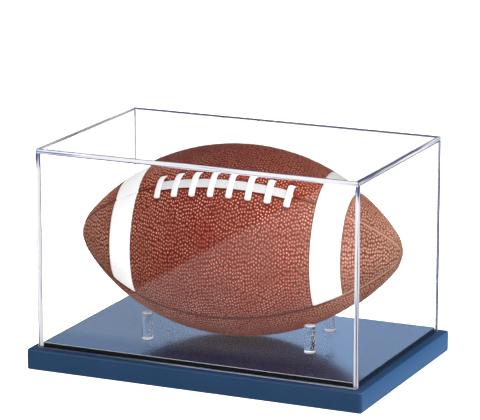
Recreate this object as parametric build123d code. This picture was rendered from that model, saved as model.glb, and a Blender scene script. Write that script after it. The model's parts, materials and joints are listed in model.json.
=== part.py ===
from build123d import *
import math
import os

# Football display case: a clear five-sheet cover that lifts off a painted base board, with a
# raised deck that locates the cover, four clear posts, and a laced ball resting on the posts.
# Millimetres. The origin is the centre of the footprint on the surface the feet stand on:
# +X runs along the long side, +Y to the back, +Z up.

# Driving dimensions: cover
cover_length = 310.0
cover_depth = 198.0
cover_height = 184.0
sheet = 4.0

# Driving dimensions: base board, feet and screws
base_overhang = 8.0
base_thickness = 19.0
base_corner_radius = 3.0
base_edge_radius = 1.5
foot_radius = 6.0
foot_thickness = 2.2
foot_recess = 1.0
foot_inset = 22.0
foot_edge = 0.4
screw_spacing_x = 236.0
screw_spacing_y = 136.0
screw_radius = 1.75
screw_head_radius = 3.5
screw_head_depth = 2.0
screw_head_recess = 0.5
screw_bite = 3.0
screw_clearance = 0.2
drive_slot_length = 4.0
drive_slot_width = 0.8
drive_slot_depth = 1.0

# Driving dimensions: raised deck
deck_gap = 0.5
deck_core_thickness = 4.2
deck_sheet_thickness = 0.8

# Driving dimensions: ball
ball_length = 296.0
ball_diameter = 170.0
nose_radius = 28.0
ball_yaw = 8.0
lace_seam_from_top = 39.5
leather = 2.6
bladder_gap = 0.2
bladder_wall = 0.8
valve_radius = 3.0
valve_hole_radius = 3.3
needle_radius = 0.6
needle_depth = 3.0

# Driving dimensions: laces and stripes
lace_count = 8
lace_pitch = 17.0
lace_width = 6.2
lace_length = 29.0
lace_thickness = 1.2
bar_thickness = 1.0
bar_width = 10.5
bar_overrun = 4.0
stripe_width = 24.0
stripe_centre = 95.0
stripe_thickness = 0.12

# Driving dimensions: posts
post_radius = 5.0
post_along = 76.0
post_across = 36.0
post_chamfer = 0.4
post_clearance = 0.4

# Worked out from the driving dimensions
base_length = cover_length + 2 * base_overhang
base_depth = cover_depth + 2 * base_overhang
base_bottom = foot_thickness - foot_recess
base_top = base_bottom + base_thickness
deck_length = cover_length - 2 * (sheet + deck_gap)
deck_depth = cover_depth - 2 * (sheet + deck_gap)
core_top = base_top + deck_core_thickness
deck_top = core_top + deck_sheet_thickness
wall_height = cover_height - sheet
wall_top = base_top + wall_height
ball_half = ball_length / 2
ball_radius = ball_diameter / 2
ball_z = (deck_top + wall_top) / 2

# The ball's outline is one long arc with a smaller nose arc tangent to it at each end.
main_radius = (ball_half**2 + ball_radius**2 - 2 * ball_half * nose_radius) / (
    2 * (ball_radius - nose_radius)
)
main_centre = ball_radius - main_radius
nose_centre = ball_half - nose_radius
tangent_angle = math.degrees(math.atan2(-main_centre, nose_centre))

steps = [(-1, -1), (1, -1), (1, 1), (-1, 1)]
corner_names = ["front_left", "front_right", "back_right", "back_left"]


def slab(length, depth, thickness, bottom, x=0.0, y=0.0):
    """Plate with its underside at the height given."""
    seat = (Align.CENTER, Align.CENTER, Align.MIN)
    return Pos(x, y, bottom) * Box(length, depth, thickness, align=seat)


def rod(radius, height, bottom, x=0.0, y=0.0):
    """Upright cylinder with its lower end at the height given."""
    seat = (Align.CENTER, Align.CENTER, Align.MIN)
    return Pos(x, y, bottom) * Cylinder(radius, height, align=seat)


def foot_places():
    x = base_length / 2 - foot_inset
    y = base_depth / 2 - foot_inset
    return [(sx * x, sy * y) for sx, sy in steps]


def screw_places():
    return [(sx * screw_spacing_x / 2, sy * screw_spacing_y / 2) for sx, sy in steps]


def post_places():
    """Post centres: a rectangle turned with the ball."""
    turn = math.radians(ball_yaw)
    places = []
    for sx, sy in steps:
        along = sx * post_along
        across = sy * post_across
        x = along * math.cos(turn) - across * math.sin(turn)
        y = along * math.sin(turn) + across * math.cos(turn)
        places.append((x, y))
    return places


def ball_height(along, offset=0.0):
    """Distance of the outline from the ball's axis, moved outwards by the offset."""
    return math.sqrt((main_radius + offset) ** 2 - along**2) + main_centre


def screw_cutter(x, y):
    """Clearance hole with a countersink in the underside of the base board."""
    radius = screw_radius + screw_clearance
    hole = rod(radius, base_thickness, base_bottom, x, y)
    mouth = rod(screw_head_radius + screw_clearance, screw_head_recess, base_bottom, x, y)
    seat = (Align.CENTER, Align.CENTER, Align.MIN)
    cone = Cone(screw_head_radius + screw_clearance, radius, screw_head_depth, align=seat)
    return hole + mouth + Pos(x, y, base_bottom + screw_head_recess) * cone


def make_base_board():
    board = slab(base_length, base_depth, base_thickness, base_bottom)
    board = fillet(board.edges().filter_by(Axis.Z), base_corner_radius)
    rims = board.faces().filter_by(Axis.Z)
    board = fillet(rims.edges(), base_edge_radius)
    for x, y in foot_places():
        board -= rod(foot_radius, foot_recess, base_bottom, x, y)
    for x, y in screw_places():
        board -= screw_cutter(x, y)
    return board


def make_foot(x, y):
    foot = rod(foot_radius, foot_thickness, 0.0, x, y)
    return fillet(foot.edges().group_by(Axis.Z)[0], foot_edge)


def make_screw(x, y):
    """Countersunk wood screw, head down, with a cross recess in the head."""
    bottom = base_bottom + screw_head_recess
    seat = (Align.CENTER, Align.CENTER, Align.MIN)
    head = Pos(x, y, bottom) * Cone(screw_head_radius, screw_radius, screw_head_depth, align=seat)
    screw = head + rod(screw_radius, base_top + screw_bite - bottom, bottom, x, y)
    screw -= slab(drive_slot_length, drive_slot_width, drive_slot_depth, bottom, x, y)
    screw -= slab(drive_slot_width, drive_slot_length, drive_slot_depth, bottom, x, y)
    return screw


def make_deck_core():
    core = slab(deck_length, deck_depth, deck_core_thickness, base_top)
    for x, y in screw_places():
        core -= rod(screw_radius, screw_bite, base_top, x, y)
    return core


def make_post(x, y):
    """Clear rod whose inner upper rim stops just below the ball."""
    height = ball_height(post_along)
    slope = height * post_along / (height - main_centre)
    inward = math.hypot(slope, post_across)
    along = post_along - post_radius * slope / inward
    across = post_across - post_radius * post_across / inward
    drop = math.sqrt(ball_height(along, post_clearance) ** 2 - across**2)
    post = rod(post_radius, ball_z - drop - deck_top, deck_top, x, y)
    return chamfer(post.edges().filter_by(GeomType.CIRCLE), post_chamfer)


def place_ball_piece(piece, start_angle):
    """Turn a piece about the ball's axis, then put it on the posts at the ball's yaw.

    Angles run about +X from the back (0), over the top (90), to the front (180).
    """
    return Pos(0, 0, ball_z) * Rot(0, 0, ball_yaw) * Rot(start_angle, 0, 0) * piece


def outline(offset):
    """Half outline of the ball above its axis, moved outwards by the offset."""
    nose = nose_radius + offset
    span = 180 - 2 * tangent_angle
    return [
        CenterArc((nose_centre, 0), nose, 0, tangent_angle),
        CenterArc((0, main_centre), main_radius + offset, tangent_angle, span),
        CenterArc((-nose_centre, 0), nose, 180 - tangent_angle, tangent_angle),
    ]


def shell_section(outer, inner):
    """Section of a closed skin between two offsets, down to the ball's axis."""
    right = Line((nose_centre + nose_radius + inner, 0), (nose_centre + nose_radius + outer, 0))
    left = Line((-nose_centre - nose_radius - inner, 0), (-nose_centre - nose_radius - outer, 0))
    return make_face(Wire(outline(outer) + [left] + outline(inner) + [right]))


def band_section(start, stop, inner, outer):
    """Section of a strip that lies on the outline between two stations along the axis."""
    middle = (start + stop) / 2
    corners = []
    arcs = []
    for offset in (inner, outer):
        points = [(along, ball_height(along, offset)) for along in (start, middle, stop)]
        arcs.append(ThreePointArc(*points))
        corners.append((points[0], points[2]))
    sides = [Line(corners[0][end], corners[1][end]) for end in (0, 1)]
    return make_face(Wire([arcs[0], sides[0], arcs[1], sides[1]]))


def make_panel(start_angle, with_valve_hole):
    """One of the four leather panels, a quarter of the ball's skin."""
    panel = revolve(shell_section(0.0, -leather), Axis.X, revolution_arc=90)
    if with_valve_hole:
        hole = Cylinder(valve_hole_radius, ball_diameter, align=(Align.CENTER, Align.CENTER, Align.MIN))
        panel -= Rot(-45, 0, 0) * hole
    return place_ball_piece(panel, start_angle)


def make_bladder():
    outer = -leather - bladder_gap
    section = shell_section(outer, outer - bladder_wall)
    return place_ball_piece(revolve(section, Axis.X), 0)


def make_valve(start_angle):
    """Rubber valve plug in the middle of a panel, with the needle hole."""
    inner = ball_radius - leather - bladder_gap
    plug = rod(valve_radius, ball_radius - stripe_thickness - inner, inner)
    plug -= rod(needle_radius, needle_depth, ball_radius - stripe_thickness - needle_depth)
    return place_ball_piece(Rot(-45, 0, 0) * plug, start_angle)


def arc_angle(length):
    """Angle about the ball's axis that a length spans on the ball's widest circle."""
    return math.degrees(length / ball_radius)


def make_lace_bar():
    reach = (lace_count - 1) * lace_pitch / 2 + lace_width / 2 + bar_overrun
    turn = arc_angle(bar_width)
    bar = revolve(band_section(-reach, reach, 0.0, bar_thickness), Axis.X, revolution_arc=turn)
    return place_ball_piece(bar, lace_seam - turn / 2)


def make_lace(along):
    """Cross lace: it bridges the bar and comes down to the leather at both ends."""
    start = along - lace_width / 2
    stop = along + lace_width / 2
    crown = bar_thickness + lace_thickness
    bridge_turn = arc_angle(lace_length)
    bar_turn = arc_angle(bar_width)
    end_turn = (bridge_turn - bar_turn) / 2
    bridge_face = band_section(start, stop, bar_thickness, crown)
    end_face = band_section(start, stop, 0.0, crown)
    lace = revolve(bridge_face, Axis.X, revolution_arc=bridge_turn)
    lace += revolve(end_face, Axis.X, revolution_arc=end_turn)
    lace += Rot(bridge_turn - end_turn, 0, 0) * revolve(end_face, Axis.X, revolution_arc=end_turn)
    return place_ball_piece(lace, lace_seam - bridge_turn / 2)


def make_stripe(along, start_angle):
    """Printed white stripe across one panel."""
    face = band_section(along - stripe_width / 2, along + stripe_width / 2, 0.0, stripe_thickness)
    return place_ball_piece(revolve(face, Axis.X, revolution_arc=90), start_angle)


lace_seam = 90 + lace_seam_from_top
nodes = {}

# Base board, deck, posts, feet and screws
nodes["base_board"] = make_base_board()
nodes["deck_core"] = make_deck_core()
nodes["deck_sheet"] = slab(deck_length, deck_depth, deck_sheet_thickness, core_top)
nodes["deck_screws"] = Compound(children=[make_screw(x, y) for x, y in screw_places()])
for name, (x, y) in zip(corner_names, foot_places()):
    nodes["foot_" + name] = make_foot(x, y)
for name, (x, y) in zip(corner_names, post_places()):
    nodes["post_" + name] = make_post(x, y)

# Cover: front and back run the full length, the ends sit between them, the top lies over all
wall_y = (cover_depth - sheet) / 2
wall_x = (cover_length - sheet) / 2
for name, y in (("front", -wall_y), ("back", wall_y)):
    nodes["cover_" + name] = slab(cover_length, sheet, wall_height, base_top, 0, y)
for name, x in (("left", -wall_x), ("right", wall_x)):
    nodes["cover_" + name] = slab(sheet, cover_depth - 2 * sheet, wall_height, base_top, x, 0)
nodes["cover_top"] = slab(cover_length, cover_depth, sheet, wall_top)

# Ball: panels named by where they lie at rest, with the lace seam between the top and front ones
panel_starts = {
    "front": lace_seam,
    "bottom": lace_seam + 90,
    "back": lace_seam + 180,
    "top": lace_seam + 270,
}
for name, start in panel_starts.items():
    nodes["panel_" + name] = make_panel(start, name == "bottom")
nodes["bladder"] = make_bladder()
nodes["valve"] = make_valve(panel_starts["bottom"])
nodes["lace_bar"] = make_lace_bar()
for index in range(lace_count):
    nodes[f"lace_{index + 1}"] = make_lace((index - (lace_count - 1) / 2) * lace_pitch)
for panel in ("front", "top"):
    for side, sign in (("left", -1), ("right", 1)):
        stripe = make_stripe(sign * stripe_centre, panel_starts[panel])
        nodes[f"stripe_{panel}_{side}"] = stripe

os.makedirs("parts", exist_ok=True)
for name, shape in nodes.items():
    export_step(shape, f"parts/{name}.step")
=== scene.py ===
import json
import math

import bmesh
import bpy
import numpy as np
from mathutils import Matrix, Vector

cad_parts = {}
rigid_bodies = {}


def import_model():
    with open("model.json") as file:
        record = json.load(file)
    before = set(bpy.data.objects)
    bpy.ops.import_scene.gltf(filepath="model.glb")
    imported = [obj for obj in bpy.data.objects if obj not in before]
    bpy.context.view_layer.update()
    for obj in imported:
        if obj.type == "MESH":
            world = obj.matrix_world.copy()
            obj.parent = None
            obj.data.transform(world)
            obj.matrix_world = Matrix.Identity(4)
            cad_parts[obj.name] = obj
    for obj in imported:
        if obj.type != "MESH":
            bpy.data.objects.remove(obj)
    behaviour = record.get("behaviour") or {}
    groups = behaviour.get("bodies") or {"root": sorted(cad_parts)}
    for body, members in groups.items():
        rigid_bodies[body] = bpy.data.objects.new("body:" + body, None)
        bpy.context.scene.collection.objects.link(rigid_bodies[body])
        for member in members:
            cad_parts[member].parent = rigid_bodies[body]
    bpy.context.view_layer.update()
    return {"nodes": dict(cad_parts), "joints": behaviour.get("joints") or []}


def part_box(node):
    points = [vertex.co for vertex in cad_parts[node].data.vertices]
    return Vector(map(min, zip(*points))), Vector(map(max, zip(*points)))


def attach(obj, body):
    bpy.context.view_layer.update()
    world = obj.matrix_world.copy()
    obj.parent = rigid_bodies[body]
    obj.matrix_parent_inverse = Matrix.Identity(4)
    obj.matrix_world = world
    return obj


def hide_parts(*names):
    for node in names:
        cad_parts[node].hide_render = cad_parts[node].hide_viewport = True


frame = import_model()
MM = 0.001

# ---------------------------------------------------------------- camera
# A long lens to the front and right of the case, a little above it.
VIEW_AZIMUTH = math.radians(24.42)
VIEW_ELEVATION = math.radians(13.85)
VIEW_DISTANCE = 2.7077
VIEW_HEIGHT = 0.1416
VIEW_LENS = 225.4


def make_camera():
    data = bpy.data.cameras.new("camera")
    data.lens = VIEW_LENS
    data.sensor_width = 36.0
    camera = bpy.data.objects.new("camera", data)
    bpy.context.scene.collection.objects.link(camera)
    back = Vector((
        math.sin(VIEW_AZIMUTH) * math.cos(VIEW_ELEVATION),
        -math.cos(VIEW_AZIMUTH) * math.cos(VIEW_ELEVATION),
        math.sin(VIEW_ELEVATION),
    ))
    camera.location = Vector((0, 0, VIEW_HEIGHT)) + back * VIEW_DISTANCE
    camera.rotation_mode = "QUATERNION"
    camera.rotation_quaternion = (-back).to_track_quat("-Z", "Y")
    bpy.context.scene.camera = camera


# ---------------------------------------------------------------- materials
BUMP_DEPTH = 0.2 * MM


def new_material(name):
    """A material with an empty tree, and its output."""
    material = bpy.data.materials.new(name)
    material.use_nodes = True
    material.node_tree.nodes.clear()
    output = material.node_tree.nodes.new("ShaderNodeOutputMaterial")
    return material, material.node_tree, output


def add_node(tree, kind, settings=None, **inputs):
    """A node with its properties and plain input values set, and links made from sockets."""
    node = tree.nodes.new("ShaderNode" + kind)
    for key, value in (settings or {}).items():
        setattr(node, key, value)
    for key, value in inputs.items():
        socket = node.inputs[key.replace("_", " ")]
        if isinstance(value, bpy.types.NodeSocket):
            tree.links.new(value, socket)
        else:
            socket.default_value = value
    return node


def ramp(tree, factor, stops):
    """A colour ramp with (position, grey or colour) stops."""
    node = add_node(tree, "ValToRGB", Fac=factor)
    elements = node.color_ramp.elements
    while len(elements) < len(stops):
        elements.new(0.5)
    for element, (position, value) in zip(elements, stops):
        element.position = position
        colour = value if isinstance(value, tuple) else (value, value, value)
        element.color = (*colour, 1.0)
    return node.outputs["Color"]


def mix_colour(tree, factor, first, second, blend="MIX"):
    """Blend of two colours or sockets: the first alone where the factor is 0."""
    node = add_node(tree, "Mix", {"data_type": "RGBA", "blend_type": blend})
    for index, value in ((0, factor), (6, first), (7, second)):
        if isinstance(value, bpy.types.NodeSocket):
            tree.links.new(value, node.inputs[index])
        else:
            node.inputs[index].default_value = value if index == 0 else (*value, 1.0)
    return node.outputs[2]


def object_coordinates(tree):
    return add_node(tree, "TexCoord").outputs["Object"]


def noise(tree, scale, detail):
    place = object_coordinates(tree)
    return add_node(tree, "TexNoise", Vector=place, Scale=scale, Detail=detail).outputs["Fac"]


def attribute(tree, name):
    return add_node(tree, "Attribute", {"attribute_name": name}).outputs["Fac"]


def bump(tree, height, strength):
    node = add_node(tree, "Bump", Height=height, Strength=strength, Distance=BUMP_DEPTH)
    return node.outputs["Normal"]


def finish_material(tree, output, shader):
    tree.links.new(shader, output.inputs["Surface"])


def principled(tree, **inputs):
    return add_node(tree, "BsdfPrincipled", **inputs).outputs["BSDF"]


def let_light_through(tree, shader):
    """Lamps, scattered light and what glossy pieces mirror pass straight through clear pieces.
    Only what is seen through them, or bounces inside them, is bent."""
    path = add_node(tree, "LightPath")
    blurred = add_node(tree, "Math", {"operation": "SUBTRACT", "use_clamp": True})
    tree.links.new(path.outputs["Is Reflection Ray"], blurred.inputs[0])
    tree.links.new(path.outputs["Is Singular Ray"], blurred.inputs[1])
    either = add_node(tree, "Math", {"operation": "MAXIMUM"})
    tree.links.new(path.outputs["Is Shadow Ray"], either.inputs[0])
    tree.links.new(blurred.outputs[0], either.inputs[1])
    clear = add_node(tree, "BsdfTransparent")
    mixed = add_node(tree, "MixShader")
    tree.links.new(either.outputs[0], mixed.inputs[0])
    tree.links.new(shader, mixed.inputs[1])
    tree.links.new(clear.outputs[0], mixed.inputs[2])
    return mixed.outputs[0]


ACRYLIC_IOR = 1.49
# Height and fade of the painted shade band at the foot of each sheet.
FOOT_SHADE_LINE = 1.3 * MM
FOOT_SHADE_FADE = 0.6 * MM


def map_range(tree, value, start, stop, low=0.0, high=1.0):
    """Value carried from start..stop to low..high, and held there beyond them."""
    node = add_node(tree, "MapRange", Value=value)
    for key, number in (("From Min", start), ("From Max", stop), ("To Min", low), ("To Max", high)):
        node.inputs[key].default_value = number
    return node.outputs["Result"]


def acrylic_material(name, tint, mark_scale, dust=0.0, foot=None):
    """Polished acrylic, faintly uneven in tint; dust is a sheen on its outline. Just above the height
    foot, a dark band is painted in: painted shade standing in for the dark of the sawn edge seen
    through the sheet."""
    material, tree, output = new_material(name)
    marks = noise(tree, mark_scale, 3.0)
    hue = mix_colour(tree, marks, tint, tuple(min(1.0, c * 1.01) for c in tint))
    if foot is not None:
        # Painted shade: a dark band just above the foot of the sheet.
        height = add_node(tree, "SeparateXYZ", Vector=object_coordinates(tree)).outputs["Z"]
        clear = map_range(tree, height, foot + FOOT_SHADE_LINE, foot + FOOT_SHADE_LINE + FOOT_SHADE_FADE)
        hue = mix_colour(tree, clear, (0.10, 0.11, 0.17), hue)
    shader = principled(
        tree,
        Base_Color=hue,
        Roughness=0.0,
        IOR=ACRYLIC_IOR,
        Transmission_Weight=1.0,
        Sheen_Weight=dust,
        Sheen_Roughness=0.2,
    )
    finish_material(tree, output, let_light_through(tree, shader))
    return material


def sawn_material(name, dark, light, clearness):
    """Unpolished acrylic edge with fine saw marks that scatter light; where its colours are dark, they
    are painted shade.
    """
    material, tree, output = new_material(name)
    saw = noise(tree, 900.0, 4.0)
    colour = ramp(tree, saw, [(0.3, dark), (0.7, light)])
    shader = principled(
        tree,
        Base_Color=colour,
        Roughness=ramp(tree, saw, [(0.3, 0.35), (0.7, 0.6)]),
        IOR=ACRYLIC_IOR,
        Transmission_Weight=clearness,
        Normal=bump(tree, saw, 0.3),
    )
    finish_material(tree, output, shader)
    return material


def paint_material():
    """Satin navy lacquer on board, with faint orange peel."""
    material, tree, output = new_material("navy_lacquer")
    broad = noise(tree, 14.0, 3.0)
    peel = noise(tree, 900.0, 2.0)
    colour = mix_colour(tree, broad, (0.0052, 0.0265, 0.071), (0.0064, 0.0318, 0.082))
    shader = principled(
        tree,
        Base_Color=colour,
        Roughness=ramp(tree, broad, [(0.3, 0.30), (0.7, 0.38)]),
        Normal=bump(tree, peel, 0.05),
    )
    finish_material(tree, output, shader)
    return material


def gloss_material(name, dark, light, roughness, specular=0.5):
    """Cast acrylic sheet, polished, with faint dust and rub marks in its gloss."""
    material, tree, output = new_material(name)
    cloud = noise(tree, 22.0, 4.0)
    haze = noise(tree, 60.0, 2.0)
    shader = principled(
        tree,
        Base_Color=mix_colour(tree, cloud, dark, light),
        Roughness=ramp(tree, haze, [(0.3, roughness), (0.75, roughness * 1.15)]),
        Specular_IOR_Level=specular,
    )
    finish_material(tree, output, shader)
    return material


def rubber_material(name, grey):
    material, tree, output = new_material(name)
    grain = noise(tree, 1400.0, 3.0)
    shader = principled(
        tree,
        Base_Color=ramp(tree, grain, [(0.3, grey * 0.8), (0.7, grey * 1.3)]),
        Roughness=ramp(tree, grain, [(0.3, 0.65), (0.7, 0.85)]),
        Normal=bump(tree, grain, 0.25),
    )
    finish_material(tree, output, shader)
    return material


def steel_material():
    material, tree, output = new_material("zinc_steel")
    grain = noise(tree, 2200.0, 4.0)
    shader = principled(
        tree,
        Base_Color=ramp(tree, grain, [(0.3, (0.5, 0.5, 0.5)), (0.7, (0.66, 0.65, 0.62))]),
        Metallic=1.0,
        Roughness=ramp(tree, grain, [(0.3, 0.25), (0.7, 0.42)]),
    )
    finish_material(tree, output, shader)
    return material


# ---------------------------------------------------------------- mesh helpers
def add_object(name, mesh, materials):
    for material in materials:
        mesh.materials.append(material)
    piece = bpy.data.objects.new(name, mesh)
    bpy.context.scene.collection.objects.link(piece)
    return piece


def make_object(name, vertices, faces, materials, shade_smooth=True):
    mesh = bpy.data.meshes.new(name)
    mesh.from_pydata([tuple(v) for v in vertices], [], faces)
    mesh.update()
    if shade_smooth:
        mesh.polygons.foreach_set("use_smooth", [True] * len(mesh.polygons))
    return add_object(name, mesh, materials)


def set_attribute(piece, name, values):
    layer = piece.data.attributes.new(name, "FLOAT", "POINT")
    layer.data.foreach_set("value", np.asarray(values, np.float32))


def stand_for(piece, node, body):
    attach(piece, body)
    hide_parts(node)


def slab(name, low, high, bevel, materials, pick):
    """Plate between two corners with rounded-over edges; pick gives each face's material."""
    middle = (low + high) / 2
    size = high - low
    work = bmesh.new()
    bmesh.ops.create_cube(work, size=1.0)
    for vertex in work.verts:
        vertex.co = middle + Vector(a * b for a, b in zip(vertex.co, size))
    bmesh.ops.bevel(work, geom=work.edges[:], offset=bevel, segments=2, profile=0.5, affect="EDGES")
    for face in work.faces:
        face.material_index = pick(face.normal)
    mesh = bpy.data.meshes.new(name)
    work.to_mesh(mesh)
    work.free()
    return add_object(name, mesh, materials)


def lathe(name, x, y, profile, steps, materials, material_rows):
    """Solid of revolution about an upright axis; the profile is (radius, height) from the
    bottom centre to the top centre, and material_rows gives the material between rows."""
    vertices = [(x, y, profile[0][1])]
    faces = []
    indices = []
    for radius, height in profile[1:-1]:
        for step in range(steps):
            angle = 2 * math.pi * step / steps
            vertices.append((x + radius * math.cos(angle), y + radius * math.sin(angle), height))
    vertices.append((x, y, profile[-1][1]))
    last = len(vertices) - 1
    rows = len(profile) - 2
    for step in range(steps):
        after = (step + 1) % steps
        faces.append((0, 1 + after, 1 + step))
        indices.append(material_rows[0])
        for row in range(rows - 1):
            a = 1 + row * steps
            b = a + steps
            faces.append((a + step, a + after, b + after, b + step))
            indices.append(material_rows[row + 1])
        top = 1 + (rows - 1) * steps
        faces.append((top + step, top + after, last))
        indices.append(material_rows[-1])
    piece = make_object(name, vertices, faces, materials)
    piece.data.polygons.foreach_set("material_index", indices)
    return piece


def soften(piece, angle_degrees):
    """Smooth shading that keeps edges sharper than the angle."""
    work = bmesh.new()
    work.from_mesh(piece.data)
    limit = math.radians(angle_degrees)
    for edge in work.edges:
        edge.smooth = len(edge.link_faces) == 2 and edge.calc_face_angle(0.0) < limit
    work.to_mesh(piece.data)
    work.free()


# ---------------------------------------------------------------- cover
COVER_BEVEL = 0.55 * MM
BOND_GAP = 0.02 * MM
# Scales of the painted light streaks, across and along an edge.
STREAK_ACROSS = 650.0
STREAK_ALONG = 9.0

# Places in a sheet's list of materials. Edges and arrises have one for each axis they run along.
FACE, FROSTED, SAWN, EDGE, ARRIS = 0, 1, 2, 3, 6
SQUARE_ON = 0.99


def edge_material(name, axis, stops, painted_shade):
    """Polished and bonded acrylic edge, with painted light: pale and dark streaks of painted
    reflection run along it. Each entry of painted_shade is a direction, the distances along it where
    it starts and ends, and how far it moves down the stops; this is painted shade."""
    material, tree, output = new_material(name + "_" + "xyz"[axis])
    stretch = [STREAK_ACROSS] * 3
    stretch[axis] = STREAK_ALONG
    drawn = add_node(tree, "Mapping", Vector=object_coordinates(tree), Scale=stretch).outputs[0]
    tone = add_node(tree, "TexNoise", Vector=drawn, Scale=1.0, Detail=2.0).outputs["Fac"]
    for way, start, end, amount in painted_shade:
        place = object_coordinates(tree)
        reach = add_node(tree, "VectorMath", {"operation": "DOT_PRODUCT"}, Vector=place)
        reach.inputs[1].default_value = way
        share = map_range(tree, reach.outputs["Value"], start, end, high=amount)
        lower = add_node(tree, "Math", {"operation": "SUBTRACT"})
        tree.links.new(tone, lower.inputs[0])
        tree.links.new(share, lower.inputs[1])
        tone = lower.outputs[0]
    shader = principled(
        tree,
        Base_Color=ramp(tree, tone, stops),
        Roughness=0.0,
        IOR=ACRYLIC_IOR,
        Transmission_Weight=0.5,
    )
    finish_material(tree, output, let_light_through(tree, shader))
    return material


def make_cover():
    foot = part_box("cover_front")[0].z
    face = acrylic_material("acrylic_face", (0.985, 0.988, 0.99), 3.0, foot=foot)
    # Edge and arris colour stops, from dark navy to white: painted reflections.
    flat = [(0.33, (0.12, 0.14, 0.30)), (0.38, (0.70, 0.74, 0.90)), (0.43, (0.97, 0.975, 1.0)),
            (0.60, (1.0, 1.0, 1.0))]
    corner = [(0.40, (0.05, 0.06, 0.12)), (0.48, (0.36, 0.40, 0.56)), (0.56, (0.92, 0.93, 0.97))]
    frosted = sawn_material("frosted_edge", (0.82, 0.84, 0.88), (0.95, 0.96, 0.98), 0.45)
    # The sawn bottom faces are painted dark navy: painted shade where the sheets stand on the base.
    sawn = sawn_material("sawn_edge", (0.06, 0.07, 0.11), (0.15, 0.17, 0.24), 0.0)
    materials = [face, frosted, sawn]
    back, left, right = (0, 1, 0), (-1, 0, 0), (1, 0, 0)
    up, down = (0, 0, 1), (0, 0, -1)
    back_right, back_left = (1, 1, 0), (-1, 1, 0)
    # Painted shade on the edges by direction: toward the back, left, right, bottom and top.
    painted_shade = [
        [(back, 0.0, 0.107, 0.30), (left, 0.0, 0.12, 0.165)],
        [(right, 0.0, 0.163, 0.12), (down, -0.10, -0.03, 0.20)],
        [(up, 0.182, 0.197, 0.28), (back_right, 0.10, 0.24, 0.22), (back_left, 0.10, 0.24, -0.12)],
    ]
    materials += [edge_material("acrylic_edge", axis, flat, painted_shade[axis]) for axis in range(3)]
    materials += [edge_material("acrylic_arris", axis, corner, painted_shade[axis]) for axis in range(3)]
    thin_axis = {"front": 1, "back": 1, "left": 0, "right": 0, "top": 2}
    for side, axis in thin_axis.items():
        node = "cover_" + side
        low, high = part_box(node)
        if side in ("left", "right"):
            low, high = low + Vector((0, BOND_GAP, 0)), high - Vector((0, BOND_GAP, BOND_GAP))
        elif side != "top":
            high = high - Vector((0, 0, BOND_GAP))

        def pick(normal, axis=axis, side=side):
            size = [abs(n) for n in normal]
            if size[axis] > SQUARE_ON:
                return FACE
            if side != "top" and normal.z < -0.5:
                return FROSTED if axis == 1 and normal.z > -SQUARE_ON else SAWN
            if max(size) < SQUARE_ON:
                return ARRIS + size.index(min(size))
            return EDGE + 3 - axis - size.index(max(size))

        piece = slab("acrylic_" + side, low, high, COVER_BEVEL, materials, pick)
        stand_for(piece, node, "cover")


# ---------------------------------------------------------------- deck and posts
DECK_BEVEL = 0.3 * MM
POST_RIM = 0.5 * MM
POST_BAND = 1.6 * MM


def make_deck_sheet():
    low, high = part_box("deck_sheet")
    top = gloss_material("deck_gloss", (0.006, 0.018, 0.042), (0.007, 0.021, 0.048), 0.14)
    # The rim's pale grey is a painted highlight along the deck sheet's front and back edges.
    rim_highlight = gloss_material("deck_rim", (0.34, 0.36, 0.40), (0.44, 0.46, 0.50), 0.08)

    def pick(normal):
        return int(abs(normal.y) > 0.5 and normal.z >= 0)

    piece = slab("deck_top", low, high, DECK_BEVEL, [top, rim_highlight], pick)
    stand_for(piece, "deck_sheet", "base")


def make_posts():
    clear = acrylic_material("post_acrylic", (0.88, 0.87, 0.86), 200.0, dust=0.4)
    frosted = bpy.data.materials["frosted_edge"]
    for corner in ("front_left", "front_right", "back_right", "back_left"):
        low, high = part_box("post_" + corner)
        x, y = (low.x + high.x) / 2, (low.y + high.y) / 2
        radius = (high.x - low.x) / 2
        profile = [
            (0, low.z),
            (radius - POST_RIM, low.z),
            (radius - 0.3 * POST_RIM, low.z + 0.3 * POST_RIM),
            (radius, low.z + POST_RIM),
            (radius, low.z + POST_BAND),
            (radius, high.z - POST_BAND),
            (radius, high.z - POST_RIM),
            (radius - 0.3 * POST_RIM, high.z - 0.3 * POST_RIM),
            (radius - POST_RIM, high.z),
            (0, high.z),
        ]
        rows = [FROSTED] * 3 + [FACE] * 3 + [FROSTED] * 3
        piece = lathe("rod_" + corner, x, y, profile, 64, [clear, frosted], rows)
        soften(piece, 50)
        stand_for(piece, "post_" + corner, "base")


# ---------------------------------------------------------------- ball
roll = next(j for j in frame["joints"] if j["name"] == "football_roll")
BALL_CENTRE = np.array(roll["pos_m"])
BALL_AXIS = np.array(roll["axis"]) / np.linalg.norm(roll["axis"])
BALL_BACK = np.cross((0.0, 0.0, 1.0), BALL_AXIS)
BALL_UP = np.array((0.0, 0.0, 1.0))


def node_points(name):
    """A CAD node's vertices as (distance along the axis, distance from it, angle about it)."""
    points = np.array([v.co for v in frame["nodes"][name].data.vertices]) - BALL_CENTRE
    back, up = points @ BALL_BACK, points @ BALL_UP
    return points @ BALL_AXIS, np.hypot(back, up), np.arctan2(up, back)


along, out, _ = node_points("panel_front")
BALL_HALF = along.max()
BALL_RADIUS = out.max()
along, _, turn = node_points("lace_bar")
LACE_SEAM = (turn.min() + turn.max()) / 2
BAR_HALF = along.max()
BAR_WIDTH = (turn.max() - turn.min()) * BALL_RADIUS
along, out, turn = node_points("lace_4")
LACE_LENGTH = (turn.max() - turn.min()) * BALL_RADIUS
LACE_WIDTH = along.max() - along.min()
LACE_TOP = out.max() - BALL_RADIUS
along, out, _ = node_points("stripe_front_right")
STRIPE_START, STRIPE_STOP = along.min(), along.max()
LACE_STATIONS = [node_points(f"lace_{i + 1}")[0].mean() for i in range(8)]
BAR_HALF = min(BAR_HALF, LACE_STATIONS[-1] + 0.6 * LACE_WIDTH)

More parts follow.
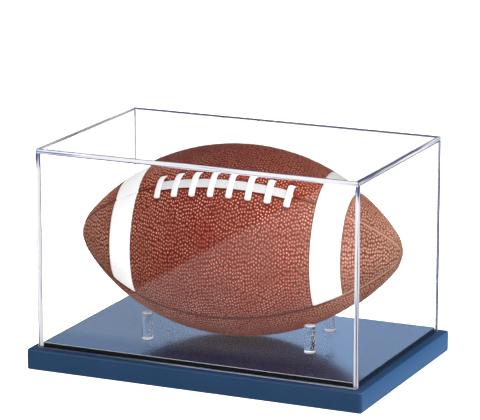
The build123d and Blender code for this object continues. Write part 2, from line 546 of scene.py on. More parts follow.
# The outline: a long arc with a nose arc tangent to it at each end, as in the CAD part.
NOSE = 28 * MM
MAIN = (BALL_HALF**2 + BALL_RADIUS**2 - 2 * BALL_HALF * NOSE) / (2 * (BALL_RADIUS - NOSE))
MAIN_CENTRE = BALL_RADIUS - MAIN
NOSE_CENTRE = BALL_HALF - NOSE
TANGENT = math.atan2(-MAIN_CENTRE, NOSE_CENTRE)
MAIN_ARC = MAIN * (math.pi / 2 - TANGENT)
HALF_ARC = MAIN_ARC + NOSE * TANGENT


def outline(arc):
    """Place and outward direction on the outline, by arc length from the middle."""
    arc = np.asarray(arc, float)
    size = np.minimum(np.abs(arc), HALF_ARC)
    on_main = size <= MAIN_ARC
    angle = np.where(on_main, math.pi / 2 - size / MAIN, TANGENT - (size - MAIN_ARC) / NOSE)
    radius = np.where(on_main, MAIN, NOSE)
    centre_s = np.where(on_main, 0.0, NOSE_CENTRE)
    centre_r = np.where(on_main, MAIN_CENTRE, 0.0)
    sign = np.sign(arc) + (arc == 0)
    s = (centre_s + radius * np.cos(angle)) * sign
    r = np.maximum(centre_r + radius * np.sin(angle), 0.0)
    return s, r, np.cos(angle) * sign, np.sin(angle)


def arc_at(s):
    """Arc length from the middle for a station on the long arc."""
    return MAIN * math.asin(s / MAIN)


def ball_points(arc, angle, height):
    """Points in the row frame at heights above the outline."""
    s, r, ns, nr = outline(arc)
    s = s + ns * height
    r = r + nr * height
    flat = (
        s[..., None] * BALL_AXIS
        + (r * np.cos(angle))[..., None] * BALL_BACK
        + (r * np.sin(angle))[..., None] * BALL_UP
    )
    return flat + BALL_CENTRE


def smooth(low, high, x):
    t = np.clip((x - low) / (high - low), 0, 1)
    return t * t * (3 - 2 * t)


PEBBLE = 3.05 * MM
PEBBLE_ROUND = 1.18 * PEBBLE
PEBBLE_ALONG = 0.88 * PEBBLE
PEBBLE_HEIGHT = 0.80 * MM
PEBBLE_JITTER = 0.22
VALLEY_WIDTH = 0.30 * PEBBLE
DOME_RADIUS = 0.56 * PEBBLE
random = np.random.default_rng(7)
ROW_COUNT = int(2 * HALF_ARC / (PEBBLE_ALONG * 0.87))
ROW_ARC = (np.arange(ROW_COUNT) + 0.5) * 2 * HALF_ARC / ROW_COUNT - HALF_ARC
ROW_RADIUS = outline(ROW_ARC)[1]
ROW_SEEDS = np.maximum(3, np.round(2 * math.pi * ROW_RADIUS / PEBBLE_ROUND)).astype(int)
MOST_SEEDS = ROW_SEEDS.max()
SEED_MOVE = random.uniform(-PEBBLE_JITTER, PEBBLE_JITTER, (ROW_COUNT, MOST_SEEDS))
SEED_ARC = ROW_ARC[:, None] + SEED_MOVE * PEBBLE_ALONG
SEED_SHIFT = random.uniform(-PEBBLE_JITTER, PEBBLE_JITTER, (ROW_COUNT, MOST_SEEDS))
SEED_HEIGHT = random.uniform(0.82, 1.12, (ROW_COUNT, MOST_SEEDS))
ROW_PHASE = random.uniform(0, 1, ROW_COUNT)


def pebbles(arc, radius, angle):
    """0 in the valleys between pebbles and 1 on their tops, with each pebble's own size."""
    row = np.clip(((arc + HALF_ARC) / (2 * HALF_ARC) * ROW_COUNT).astype(int), 0, ROW_COUNT - 1)
    turn = np.mod(angle, 2 * math.pi) / (2 * math.pi)
    nearest = np.full(arc.shape, 1.0)
    second = np.full(arc.shape, 1.0)
    size = np.full(arc.shape, 1.0)
    for d_row in (-2, -1, 0, 1, 2):
        r = np.clip(row + d_row, 0, ROW_COUNT - 1)
        count = ROW_SEEDS[r]
        at = turn * count - ROW_PHASE[r]
        for d_seed in (-1, 0, 1):
            k = np.round(at).astype(int) + d_seed
            seed = np.mod(k, count)
            gap = (at - k - SEED_SHIFT[r, seed]) / count * 2 * math.pi * radius
            distance = PEBBLE * np.hypot(gap / PEBBLE_ROUND, (arc - SEED_ARC[r, seed]) / PEBBLE_ALONG)
            distance = np.where((r != row + d_row), 1.0, distance)
            closer = distance < nearest
            second = np.where(closer, nearest, np.minimum(second, distance))
            size = np.where(closer, SEED_HEIGHT[r, seed], size)
            nearest = np.where(closer, distance, nearest)
    valley = 1 - np.exp(-(((second - nearest) / VALLEY_WIDTH) ** 2))
    dome = np.clip(1 - (nearest / DOME_RADIUS) ** 2, 0, 1)
    return 0.25 * valley + 0.75 * dome, size


CREASE_WIDTH = 1.9 * MM
CREASE_DEPTH = 1.6 * MM
# Width of the painted shade along the seams.
CREASE_SHADE = 1.3 * MM
SEAM_DIP = 0.45 * MM
SEAM_DIP_WIDTH = 8 * MM
STITCH_PITCH = 5.4 * MM
STITCH_PULL = 0.16 * MM
STITCH_REACH = 2.6 * MM
STRIPE_FADE = 0.6 * MM
LINE_WIDTH = 0.9 * MM
EYELET_WIDTH = 2.6 * MM
EYELET_DEPTH = 0.7 * MM
VALVE_ANGLE = LACE_SEAM + math.radians(135)
VALVE_HOLE = 2.6 * MM
VALVE_RIM = 4.2 * MM
VALVE_DEPTH = 0.9 * MM
TIP_RADIUS = 9 * MM
BARE_TIP_RADIUS = 6 * MM
PEBBLES_START = 0.5 * MM
PEBBLES_FULL = 2.6 * MM
# Where along the ball the painted seam highlight begins and is full.
SEAM_GLINT_START, SEAM_GLINT_FULL = 0.50, 0.8

# Shares of the pebbles' height that are flattened, and the share that lies under the outline.
STRIPE_FLATTENS = 0.65
BAR_FLATTENS = 0.8
EYELET_FLATTENS = 0.7
PEBBLE_SUNK = 0.7

# The panels, by how many quarter turns past the lace seam each one starts.
QUARTERS = {"front": 0, "bottom": 1, "back": 2, "top": 3}
STRIPED = ("front", "top")


def start_angle(panel):
    return LACE_SEAM + QUARTERS[panel] * math.pi / 2


def turn_from(angle, centre):
    """Signed angle from a centre, at most half a turn either way."""
    return np.mod(angle - centre + math.pi, 2 * math.pi) - math.pi


def bell(distance, width):
    """1 at no distance, fading away over the width."""
    return np.exp(-((distance / width) ** 2))


def seam_depth(arc, gap):
    """How far the leather lies below the outline beside a seam: it is rounded over and drawn
    in there, most at each stitch."""
    round_over = 1 - np.clip(gap / CREASE_WIDTH, 0, 1)
    crease = CREASE_DEPTH * (1 - np.sqrt(1 - round_over**2))
    pull = 0.5 + 0.5 * np.cos(2 * math.pi * arc / STITCH_PITCH)
    drawn = STITCH_PULL * pull * np.exp(-gap / STITCH_REACH)
    return crease + SEAM_DIP * bell(gap, SEAM_DIP_WIDTH) + drawn


def stripe_masks(s, panel):
    """Shares of painted stripe, and of painted shade: a dark line along its two edges."""
    if panel not in STRIPED:
        return np.zeros_like(s), np.zeros_like(s)
    size = np.abs(s)
    begun = smooth(STRIPE_START - STRIPE_FADE, STRIPE_START, size)
    ended = smooth(STRIPE_STOP, STRIPE_STOP + STRIPE_FADE, size)
    beside = np.minimum(np.abs(size - STRIPE_START), np.abs(size - STRIPE_STOP))
    return begun * (1 - ended), bell(beside, LINE_WIDTH)


def lace_masks(s, off_lace):
    """Shares of leather pressed flat by the bar, and of painted shade in the eyelets and along the
    bar's edges.
    """
    past_end = smooth(BAR_HALF, BAR_HALF + 4 * MM, np.abs(s))
    past_side = smooth(BAR_WIDTH * 0.5, BAR_WIDTH * 0.5 + 2 * MM, np.abs(off_lace))
    dark = np.zeros_like(s)
    for station in LACE_STATIONS:
        for end in (-1, 1):
            reach = np.hypot(s - station, off_lace - end * (LACE_LENGTH / 2 - 1 * MM))
            dark = np.maximum(dark, bell(reach, EYELET_WIDTH))
    # Painted shade: a dark line along each edge of the bar, where it meets the leather.
    bar_contact_shade = bell(np.abs(off_lace) - BAR_WIDTH * 0.47, LINE_WIDTH)
    dark = np.maximum(dark, 0.75 * bar_contact_shade * (np.abs(s) < BAR_HALF))
    return (1 - past_end) * (1 - past_side), dark


def surface(arc, angle, panel):
    """Height of the leather above the outline, with the masks that its colour follows."""
    s, r, _, _ = outline(arc)
    side = angle - start_angle(panel)
    gap = r * np.minimum(np.abs(side), np.abs(math.pi / 2 - side))
    off_lace = r * turn_from(angle, LACE_SEAM)
    tip = np.clip(r / TIP_RADIUS, 0, 1)
    stripe, stripe_edge_shade = stripe_masks(s, panel)
    pressed, eyelet = lace_masks(s, off_lace)
    # The stripe edges join the eyelet mask: a shallow dip and a painted shade line.
    eyelet = np.maximum(eyelet, 0.6 * stripe_edge_shade)
    valve = 1 - smooth(VALVE_HOLE, VALVE_RIM, np.hypot(s, r * turn_from(angle, VALVE_ANGLE)))

    bumps, size = pebbles(arc, r, angle)
    mask = smooth(PEBBLES_START, PEBBLES_FULL, gap) * np.clip(r / BARE_TIP_RADIUS, 0, 1)
    mask = mask * (1 - STRIPE_FLATTENS * stripe) * (1 - BAR_FLATTENS * pressed)
    mask = mask * (1 - EYELET_FLATTENS * eyelet) * (1 - valve)
    height = PEBBLE_HEIGHT * mask * (bumps * size - PEBBLE_SUNK) - tip * seam_depth(arc, gap)
    height = height - EYELET_DEPTH * eyelet - VALVE_DEPTH * valve
    return {
        "height": height,
        "pebble": bumps * mask + 0.5 * (1 - mask),
        # Painted shade along the seams, less beside the laces.
        "crease": bell(gap, CREASE_SHADE) * tip * (1 - 0.5 * (np.abs(off_lace) < 5 * MM)),
        # Eyelet mask: painted shade in eyelets, beside the bar, along stripe edges and in the valve
        # hole.
        "eyelet": np.maximum(eyelet, 0.8 * valve),
        # Painted highlight along the seams toward the right nose.
        "worn_seam": bell(gap, LINE_WIDTH) * smooth(SEAM_GLINT_START, SEAM_GLINT_FULL, s / BALL_HALF) * tip,
    }


def leather_material():
    """Tanned pebbled leather, with painted light and shade: painted shade in the valleys, painted
    glints on the pebble tops, and ends painted lighter for the light on them; redder in the middle of
    the ball.
    """
    material, tree, output = new_material("pebbled_leather")
    pebble = attribute(tree, "pebble")
    crease = attribute(tree, "crease")
    eyelet = attribute(tree, "eyelet")
    seam_glint = attribute(tree, "worn_seam")
    axis = attribute(tree, "along")
    # The redder middle is the leather's tone; the paler, lighter ends, most of all the right nose, are
    # painted light and sheen.
    tone = ramp(tree, axis, [
        (0.0, (0.215, 0.085, 0.052)),
        (0.20, (0.160, 0.032, 0.014)),
        (0.42, (0.135, 0.009, 0.002)),
        (0.72, (0.205, 0.027, 0.009)),
        (1.0, (0.370, 0.185, 0.130)),
    ])
    # Painted shade: the valleys between pebbles are darkened.
    dark = mix_colour(tree, 1.0, tone, (0.36, 0.25, 0.21), "MULTIPLY")
    colour = mix_colour(tree, ramp(tree, pebble, [(0.20, 0.0), (0.75, 1.0)]), dark, tone)
    # Painted glints: pale dots on the pebble tops, stronger in patches.
    glint_share = ramp(tree, noise(tree, 55.0, 3.0), [(0.35, 0.30), (0.65, 0.75)])
    tips = mix_colour(tree, 1.0, glint_share, ramp(tree, pebble, [(0.80, 0.0), (0.95, 1.0)]), "MULTIPLY")
    colour = mix_colour(tree, tips, colour, (0.95, 0.60, 0.47))
    mottle = noise(tree, 38.0, 4.0)
    colour = mix_colour(tree, ramp(tree, mottle, [(0.35, 0.0), (0.7, 0.35)]), colour,
                        (0.105, 0.026, 0.016))
    # Painted shade in the seam creases.
    colour = mix_colour(tree, crease, colour, (0.030, 0.009, 0.006))
    # Painted highlight: a pale line along the seams near the right nose.
    colour = mix_colour(tree, ramp(tree, seam_glint, [(0.2, 0.0), (0.8, 0.7)]), colour,
                        (0.66, 0.42, 0.29))
    # Painted shade from the eyelet mask: eyelets, bar edges, stripe edges and the valve hole.
    colour = mix_colour(tree, ramp(tree, eyelet, [(0.25, 0.0), (0.9, 0.9)]), colour,
                        (0.022, 0.008, 0.006))
    grain = noise(tree, 1500.0, 3.0)
    shader = principled(
        tree,
        Base_Color=colour,
        Roughness=ramp(tree, pebble, [(0.3, 0.70), (0.85, 0.27)]),
        Specular_IOR_Level=0.15,
        Normal=bump(tree, grain, 0.08),
    )
    finish_material(tree, output, shader)
    return material


def closed_patch(name, arcs, angles, outer, inner, materials):
    """Closed shell over a grid of arc lengths and angles. Arrays give the heights of its outer
    and inner skins."""
    columns, rows = len(arcs), len(angles)
    grid_arc, grid_angle = np.meshgrid(arcs, angles, indexing="ij")
    vertices = np.concatenate([
        ball_points(grid_arc, grid_angle, outer).reshape(-1, 3),
        ball_points(grid_arc, grid_angle, inner).reshape(-1, 3),
    ])
    half = columns * rows
    c, r = np.meshgrid(np.arange(columns - 1), np.arange(rows - 1), indexing="ij")
    a = (c * rows + r).ravel()
    top = np.stack([a, a + 1, a + rows + 1, a + rows], 1)
    quads = [top, top[:, ::-1] + half]
    c = np.arange(columns - 1) * rows
    quads.append(np.stack([c, c + rows, c + rows + half, c + half], 1))
    d = c + rows - 1
    quads.append(np.stack([d, d + half, d + rows + half, d + rows], 1))
    r = np.arange(rows - 1)
    quads.append(np.stack([r, r + half, r + 1 + half, r + 1], 1))
    e = r + (columns - 1) * rows
    quads.append(np.stack([e, e + 1, e + 1 + half, e + half], 1))
    return make_object(name, vertices, np.concatenate(quads).tolist(), materials)


PANEL_COLUMNS = 470
PANEL_ROWS = 190
PANEL_THICK = 2.6 * MM
LINING_ROWS = 9
SEAM_CROWDING = 0.465
NOSE_CROWDING = 0.1 * math.pi


def panel_angles(panel):
    """Angles across a panel, closer together beside its two seams."""
    u = np.linspace(0, 1, PANEL_ROWS)
    share = u - SEAM_CROWDING * np.sin(2 * math.pi * u) / (2 * math.pi)
    return start_angle(panel) + share * math.pi / 2


def make_panels(leather):
    bend = np.linspace(-NOSE_CROWDING, NOSE_CROWDING, PANEL_COLUMNS)
    arcs = HALF_ARC * np.sin(bend) / math.sin(NOSE_CROWDING)
    for panel in QUARTERS:
        angles = panel_angles(panel)
        grid_arc, grid_angle = np.meshgrid(arcs, angles, indexing="ij")
        look = surface(grid_arc, grid_angle, panel)
        outer = look.pop("height")
        inner = np.full_like(outer, -PANEL_THICK)
        piece = build_panel("leather_" + panel, arcs, angles, outer, inner, look, leather)
        stand_for(piece, "panel_" + panel, "football")


def build_panel(name, arcs, angles, outer, inner, masks, leather):
    """One leather panel: a dense outer skin, a coarse inner skin, and a wall along each seam."""
    columns, rows = len(arcs), len(angles)
    keep = np.linspace(0, rows - 1, LINING_ROWS).astype(int)
    grid_arc, grid_angle = np.meshgrid(arcs[1:-1], angles, indexing="ij")
    skin = ball_points(grid_arc, grid_angle, outer[1:-1]).reshape(-1, 3)
    lining = ball_points(grid_arc[:, keep], grid_angle[:, keep], inner[1:-1][:, keep]).reshape(-1, 3)
    tips = [ball_points(np.array(arcs[i]), np.array(angles[0]), np.array(h))
            for i in (0, -1) for h in (outer[i, 0], inner[i, 0])]
    vertices = np.concatenate([skin, lining, tips])
    inside = len(skin)
    tip = inside + len(lining)
    columns -= 2
    few = len(keep)

    def strip(offset, width, flip):
        c, r = np.meshgrid(np.arange(columns - 1), np.arange(width - 1), indexing="ij")
        a = (offset + c * width + r).ravel()
        quads = np.stack([a, a + 1, a + width + 1, a + width], 1)
        return quads[:, ::-1] if flip else quads

    faces = np.concatenate([strip(0, rows, False), strip(inside, few, True)]).tolist()
    for c in range(columns - 1):
        a, b = c * rows, inside + c * few
        faces.append((a, a + rows, b + few, b))
        a, b = a + rows - 1, b + few - 1
        faces.append((a, b, b + few, a + rows))
    for end, (o, i) in ((0, (tip, tip + 1)), (columns - 1, (tip + 2, tip + 3))):
        a, b = end * rows, inside + end * few
        fan = [(o, a + r + 1, a + r) for r in range(rows - 1)]
        fan += [(i, b + r, b + r + 1) for r in range(few - 1)]
        fan += [(o, a, b, i), (o, i, b + few - 1, a + rows - 1)]
        faces += fan if end == 0 else [f[::-1] for f in fan]
    piece = make_object(name, vertices, faces, [leather])
    for mask, values in masks.items():
        top = values[1:-1].reshape(-1)
        low = values[1:-1][:, keep].reshape(-1)
        ends = [values[0, 0]] * 2 + [values[-1, 0]] * 2
        set_attribute(piece, mask, np.concatenate([top, low, ends]))
    stations = outline(arcs)[0] / (2 * BALL_HALF) + 0.5
    top = np.repeat(stations[1:-1], rows)
    low = np.repeat(stations[1:-1], few)
    ends = [stations[0]] * 2 + [stations[-1]] * 2
    set_attribute(piece, "along", np.concatenate([top, low, ends]))
    return piece


def stripe_material():
    """White printed band: it follows the pebbles, and its white varies a little across it."""
    material, tree, output = new_material("stripe_print")
    cloud = noise(tree, 60.0, 4.0)
    fine = noise(tree, 700.0, 3.0)
    colour = ramp(tree, cloud, [(0.3, (0.66, 0.66, 0.66)), (0.7, (0.72, 0.72, 0.72))])
    shader = principled(
        tree,
        Base_Color=colour,
        Roughness=ramp(tree, fine, [(0.3, 0.42), (0.7, 0.58)]),
        Normal=bump(tree, fine, 0.12),
    )
    finish_material(tree, output, shader)
    return material


STRIPE_LIFT = 0.12 * MM
STRIPE_SINK = 0.3 * MM
STRIPE_COLUMNS = 44


def make_stripes(print_material):
    first, last = arc_at(STRIPE_START), arc_at(STRIPE_STOP)
    for panel in STRIPED:
        angles = panel_angles(panel)
        for side, sign in (("left", -1), ("right", 1)):
            arcs = np.sort(sign * np.linspace(first, last, STRIPE_COLUMNS))
            grid_arc, grid_angle = np.meshgrid(arcs, angles, indexing="ij")
            skin = surface(grid_arc, grid_angle, panel)["height"] + STRIPE_LIFT
            name = f"stripe_band_{panel}_{side}"
            piece = closed_patch(name, arcs, angles, skin, skin - STRIPE_SINK, [print_material])
            stand_for(piece, f"stripe_{panel}_{side}", "football")


def lace_material(name, tone):
    """White lacing with a fine woven face."""
    material, tree, output = new_material(name)
    place = object_coordinates(tree)
    weave = add_node(tree, "TexVoronoi", Vector=place, Scale=1300.0).outputs["Distance"]
    cloud = noise(tree, 180.0, 3.0)
    shader = principled(
        tree,
        Base_Color=ramp(tree, cloud, [(0.3, tuple(c * 0.93 for c in tone)), (0.7, tone)]),
        Roughness=ramp(tree, weave, [(0.1, 0.45), (0.6, 0.62)]),
        Normal=bump(tree, weave, 0.25),
    )
    finish_material(tree, output, shader)
    return material


# Powers that square off a round section at its sides and at its top and bottom.
SQUARE_SIDES = 0.62
SQUARE_TOPS = 0.75


def swept_band(name, path, sides, ups, widths, thicks, materials):
    """Closed cord with a flattened round section, from centre points, side and up directions."""
    around = 20
    vertices = []
    faces = []
    for centre, side, up, width, thick in zip(path, sides, ups, widths, thicks):
        for step in range(around):
            turn = 2 * math.pi * step / around
            cosine, sine = math.cos(turn), math.sin(turn)
            x = math.copysign(abs(cosine) ** SQUARE_SIDES, cosine) * width / 2
            z = math.copysign(abs(sine) ** SQUARE_TOPS, sine) * thick / 2
            vertices.append(centre + side * x + up * z)
    count = len(path)
    for ring in range(count - 1):
        for step in range(around):
            after = (step + 1) % around
            a, b = ring * around, (ring + 1) * around
            faces.append((a + step, b + step, b + after, a + after))
    vertices += [path[0], path[-1]]
    first, last = count * around, count * around + 1
    for step in range(around):
        after = (step + 1) % around
        faces.append((first, step, after))
        end = (count - 1) * around
        faces.append((last, end + after, end + step))
    return make_object(name, vertices, faces, materials)


def ball_frame(arc, angle):
    """Directions along the ball, across it and outwards at one place."""
    base = ball_points(np.array(arc), np.array(angle), np.array(0.0))
    up = ball_points(np.array(arc), np.array(angle), np.array(1.0)) - base
    across = -math.sin(angle) * BALL_BACK + math.cos(angle) * BALL_UP
    forward = np.cross(up, across)
    return forward, across, up


BAR_STEPS = 90
BAR_THICK = 1.5 * MM
BAR_END = 3 * MM
BAR_LIFT = 0.30 * MM
BAR_PRESSED = 0.25 * MM
LACE_STEPS = 44
LACE_THICK = 1.85 * MM
LACE_SINK = 0.95 * MM
LACE_SAG = 0.75 * MM
LACE_DIVE = 2.4 * MM
LACE_HOOK = 1.9 * MM
LACE_PRESS = 3.4 * MM


def make_bar(strip):
    """The bar along the seam, pressed down where each lace crosses it."""
    half = arc_at(BAR_HALF)
    stations = np.array([arc_at(s) for s in LACE_STATIONS])
    path, sides, ups, widths, thicks = [], [], [], [], []
    for arc in np.linspace(-half, half, BAR_STEPS):
        _, across, up = ball_frame(arc, LACE_SEAM)
        press = bell(arc - stations, LACE_PRESS).max()
        end = np.clip((half - abs(arc)) / BAR_END, 0, 1)
        rounded = math.sqrt(max(0.0, 1 - (1 - end) ** 2))
        height = BAR_LIFT - BAR_PRESSED * press
        path.append(ball_points(np.array(arc), np.array(LACE_SEAM), np.array(height)))
        sides.append(across)
        ups.append(up)
        widths.append(BAR_WIDTH * (0.90 - 0.10 * press) * max(rounded, 0.05))
        thicks.append(BAR_THICK * (1 - 0.2 * press) * max(rounded, 0.1))
    piece = swept_band("lacing_bar", path, sides, ups, widths, thicks, [strip])
    stand_for(piece, "lace_bar", "football")


def make_cross_laces(cord):
    """The laces over the bar: each dives into an eyelet at both ends and leans a little."""
    jitter = np.random.default_rng(11)
    for index, station in enumerate(LACE_STATIONS):
        lean, wobble, thicker = jitter.uniform(-0.4, 0.4, 3) * MM
        path, sides, ups, widths, thicks = [], [], [], [], []
        for u in np.linspace(-1, 1, LACE_STEPS):
            bridge = LACE_TOP - LACE_SINK - LACE_SAG * smooth(0.30, 0.85, abs(u))
            dive = LACE_DIVE * smooth(0.82, 1.0, abs(u)) ** 1.5
            hook = LACE_HOOK * smooth(0.62, 1.0, -u) ** 1.4
            arc = arc_at(station) + hook + lean * u + wobble * (1 - u * u) * 0.4
            angle = LACE_SEAM + u * LACE_LENGTH / 2 / BALL_RADIUS
            forward, _, up = ball_frame(arc, angle)
            path.append(ball_points(np.array(arc), np.array(angle), np.array(bridge - dive)))
            sides.append(forward)
            ups.append(up)
            round_end = math.sqrt(max(0.0, 1 - np.clip((abs(u) - 0.86) / 0.14, 0, 1) ** 2))
            widths.append((LACE_WIDTH * 0.94 + thicker * 0.5) * max(0.35, round_end))
            thicks.append(LACE_THICK * max(0.5, round_end))
        piece = swept_band(f"cross_lace_{index + 1}", path, sides, ups, widths, thicks, [cord])
        stand_for(piece, f"lace_{index + 1}", "football")


# ---------------------------------------------------------------- carried-over CAD nodes
def dress_node(name, material):
    node = frame["nodes"][name]
    node.data.materials.clear()
    node.data.materials.append(material)


def dress_cad_nodes():
    dress_node("base_board", paint_material())
    core = gloss_material("deck_core_satin", (0.001, 0.001, 0.001), (0.002, 0.002, 0.002), 0.45, 0.12)
    dress_node("deck_core", core)
    dress_node("deck_screws", steel_material())
    rubber = rubber_material("foot_rubber", 0.03)
    for corner in ("front_left", "front_right", "back_right", "back_left"):
        dress_node("foot_" + corner, rubber)
    dress_node("bladder", rubber_material("bladder_skin", 0.02))
    dress_node("valve", rubber_material("valve_plug", 0.015))


# ---------------------------------------------------------------- stage and light
# Bright enough to stay white behind sheets that take some of it away.
SEEN = 1.8
# Roughly what the lights add to the floor.
FLOOR_LIT = 0.2


def seen_or_mirrored(tree, seen, mirrored, scattered):
    """What looks at the stage directly or through clear pieces gets one shader, what mirrors
    it another, and rough surfaces that it lights a third."""
    path = add_node(tree, "LightPath")
    mirror = add_node(tree, "MixShader")
    tree.links.new(path.outputs["Glossy Depth"], mirror.inputs[0])
    tree.links.new(seen, mirror.inputs[1])
    tree.links.new(mirrored, mirror.inputs[2])
    scatter = add_node(tree, "MixShader")
    tree.links.new(path.outputs["Diffuse Depth"], scatter.inputs[0])
    tree.links.new(mirror.outputs[0], scatter.inputs[1])
    tree.links.new(scattered, scatter.inputs[2])
    return scatter.outputs[0]


def make_floor():
    """Pale seamless floor that glows a little, so shadows on it stay faint."""
    size = 30.0
    corners = [(-size, -size, 0), (size, -size, 0), (size, size, 0), (-size, size, 0)]
    floor = make_object("floor", corners, [(0, 1, 2, 3)], [], shade_smooth=False)
    material, tree, output = new_material("floor_white")
    grain = noise(tree, 30.0, 2.0)
    colour = ramp(tree, grain, [(0.3, 0.80), (0.7, 0.82)])
    seen = principled(tree, Base_Color=colour, Roughness=0.6,
                      Emission_Color=(1.0, 1.0, 1.0, 1.0), Emission_Strength=SEEN - FLOOR_LIT)
    where = add_node(tree, "SeparateXYZ", Vector=object_coordinates(tree)).outputs
    # In mirrors the floor is a card with pale and dark bands, nearly black just in front of
    # the case, and an even grey far away from it.
    card = ramp(tree, map_range(tree, where["X"], -0.5, 0.5), [
        (0.300, 0.03), (0.308, 0.62), (0.48, 0.52), (0.58, 0.15), (0.655, 0.12), (0.660, 0.40),
        (0.680, 0.40), (0.684, 0.03),
    ])
    ahead = map_range(tree, where["Y"], -0.30, -0.10)
    close = ramp(tree, ahead, [(0.35, 0.0), (0.50, 1.0), (0.99, 1.0), (1.0, 0.0)])
    card = mix_colour(tree, close, card, (0.05, 0.05, 0.05))
    away = add_node(tree, "VectorMath", {"operation": "LENGTH"}, Vector=object_coordinates(tree))
    far = ramp(tree, away.outputs["Value"], [(0.90, 0.0), (0.98, 1.0)])
    card = mix_colour(tree, far, card, (0.50, 0.50, 0.50))
    mirrored = add_node(tree, "Emission", Color=card, Strength=1.0).outputs[0]
    scattered = add_node(tree, "Emission", Color=(1.25, 1.25, 1.26, 1.0), Strength=1.0).outputs[0]
    finish_material(tree, output, seen_or_mirrored(tree, seen, mirrored, scattered))
    floor.data.materials.append(material)


def make_ring():
    """Low blue band all round, brighter to the right, seen only in what the deck mirrors."""
    radius, top, steps = 0.60, 0.60, 96
    glow = (0.42, 0.62, 1.0)
    faded = tuple(0.3 * c for c in glow)
    turns = [2 * math.pi * i / steps for i in range(steps)]
    points = [(radius * math.sin(a), radius * math.cos(a), z) for z in (0.0, top) for a in turns]
    faces = [(i, (i + 1) % steps, steps + (i + 1) % steps, steps + i) for i in range(steps)]
    ring = make_object("ring", points, faces, [], shade_smooth=False)
    material, tree, output = new_material("ring_glow")
    where = add_node(tree, "SeparateXYZ", Vector=object_coordinates(tree)).outputs
    share = map_range(tree, where["Z"], 0.0, top)
    fading = ramp(tree, share, [(0.0, glow), (0.33, glow), (1.0, faded)])
    power = map_range(tree, where["X"], -0.35, -0.12, low=1.25, high=2.25)
    glowing = add_node(tree, "Emission", Color=fading, Strength=power)
    clear = add_node(tree, "BsdfTransparent")
    both = add_node(tree, "AddShader")
    tree.links.new(glowing.outputs[0], both.inputs[0])
    tree.links.new(clear.outputs[0], both.inputs[1])
    finish_material(tree, output, both.outputs[0])
    ring.data.materials.append(material)
    ring.visible_camera = False
    ring.visible_transmission = False
    ring.visible_diffuse = False
    ring.visible_shadow = False
    light_only(ring, [bpy.data.objects["deck_top"]])


def make_world():
    """White surround where it is looked at; a darker studio in mirrors and as fill light."""
    world = bpy.data.worlds.new("studio")
    bpy.context.scene.world = world
    world.use_nodes = True
    world.cycles.sampling_method = "NONE"
    tree = world.node_tree
    tree.nodes.clear()
    place = add_node(tree, "TexCoord").outputs["Generated"]
    up = add_node(tree, "SeparateXYZ", Vector=place).outputs["Z"]
    grey = ramp(tree, up, [(0.0, 0.50), (0.10, 0.50), (0.20, 0.03), (0.6, 0.10), (1.0, 0.3)])
    seen = add_node(tree, "Background", Color=(1.0, 1.0, 1.0, 1.0), Strength=SEEN).outputs[0]
    mirrored = add_node(tree, "Background", Color=grey).outputs[0]
    scattered = add_node(tree, "Background", Color=(0.46, 0.46, 0.47, 1.0)).outputs[0]
    output = tree.nodes.new("ShaderNodeOutputWorld")
    shader = seen_or_mirrored(tree, seen, mirrored, scattered)
    tree.links.new(shader, output.inputs["Surface"])


def pieces_named(*starts):
    return [piece for piece in bpy.data.objects if piece.name.startswith(starts)]


def light_only(source, pieces, through=False):
    """Limit a light, or a glowing mesh, to the given pieces; with through, only they shade it."""
    lit = bpy.data.collections.new("lit_by_" + source.name)
    for piece in pieces:
        lit.objects.link(piece)
    source.light_linking.receiver_collection = lit
    if through:
        source.light_linking.blocker_collection = lit


def area_light(name, azimuth, elevation, distance, size, power, colour, mirrored=True):
    """Square soft light aimed at the ball; azimuth 0 is the front, 90 the right."""
    data = bpy.data.lights.new(name, "AREA")
    data.size = size
    data.energy = power
    data.color = colour
    light = bpy.data.objects.new(name, data)
    bpy.context.scene.collection.objects.link(light)
    turn, rise = math.radians(azimuth), math.radians(elevation)
    away = Vector((math.sin(turn) * math.cos(rise), -math.cos(turn) * math.cos(rise), math.sin(rise)))
    light.location = Vector(BALL_CENTRE) + away * distance
    light.rotation_mode = "QUATERNION"
    light.rotation_quaternion = (-away).to_track_quat("-Z", "Y")
    light.visible_glossy = mirrored
    light.visible_transmission = mirrored
    return light


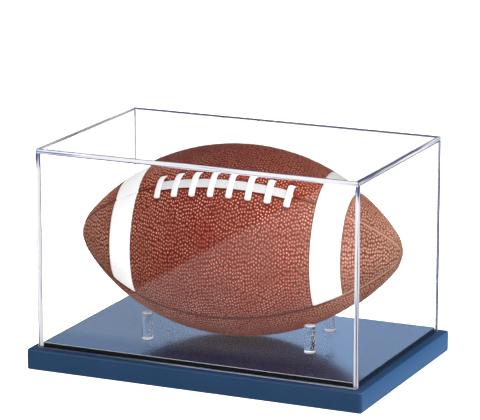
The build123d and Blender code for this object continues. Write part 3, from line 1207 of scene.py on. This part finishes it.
def make_lights():
    """The studio's lights, and three that reach one piece or one group of pieces only."""
    area_light("softbox", azimuth=35, elevation=46, distance=2.0, size=1.0, power=36,
               colour=(1.0, 0.98, 0.96))
    area_light("front", azimuth=14, elevation=14, distance=2.2, size=0.7, power=18,
               colour=(1.0, 0.99, 0.98))
    area_light("right", azimuth=100, elevation=22, distance=1.8, size=0.8, power=22,
               colour=(1.0, 0.95, 0.90))
    area_light("left", azimuth=-48, elevation=26, distance=2.2, size=1.0, power=9,
               colour=(0.93, 0.96, 1.0))
    area_light("back", azimuth=205, elevation=22, distance=2.2, size=1.0, power=38,
               colour=(1.0, 0.99, 0.98), mirrored=False)
    beside = area_light("beside", azimuth=112, elevation=3, distance=1.5, size=0.3, power=60,
                        colour=(1.0, 1.0, 1.0), mirrored=False)
    light_only(beside, [frame["nodes"]["base_board"]])
    above = area_light("above", azimuth=0, elevation=70, distance=1.6, size=0.6, power=16,
                       colour=(1.0, 0.97, 0.92), mirrored=False)
    light_only(above, pieces_named("leather_"))
    under = area_light("under", azimuth=20, elevation=-60, distance=1.2, size=0.6, power=10,
                       colour=(1.0, 0.97, 0.95), mirrored=False)
    light_only(under, pieces_named("leather_", "stripe_band_", "cross_lace_", "lacing_"), through=True)


def set_light_paths():
    """Enough bounces to see through all the clear sheets, and plain colours."""
    scene = bpy.context.scene
    scene.view_settings.view_transform = "Standard"
    scene.cycles.max_bounces = 20
    scene.cycles.transmission_bounces = 20
    scene.cycles.glossy_bounces = 6
    scene.cycles.diffuse_bounces = 3
    scene.cycles.transparent_max_bounces = 24
    scene.cycles.caustics_reflective = False
    scene.cycles.caustics_refractive = False
    scene.cycles.sample_clamp_indirect = 6.0


make_camera()
dress_cad_nodes()
make_cover()
make_deck_sheet()
make_posts()
make_panels(leather_material())
make_stripes(stripe_material())
make_bar(lace_material("lace_strip", (0.46, 0.46, 0.47)))
make_cross_laces(lace_material("lace_cord", (0.62, 0.62, 0.62)))
make_floor()
make_ring()
make_world()
make_lights()
set_light_paths()
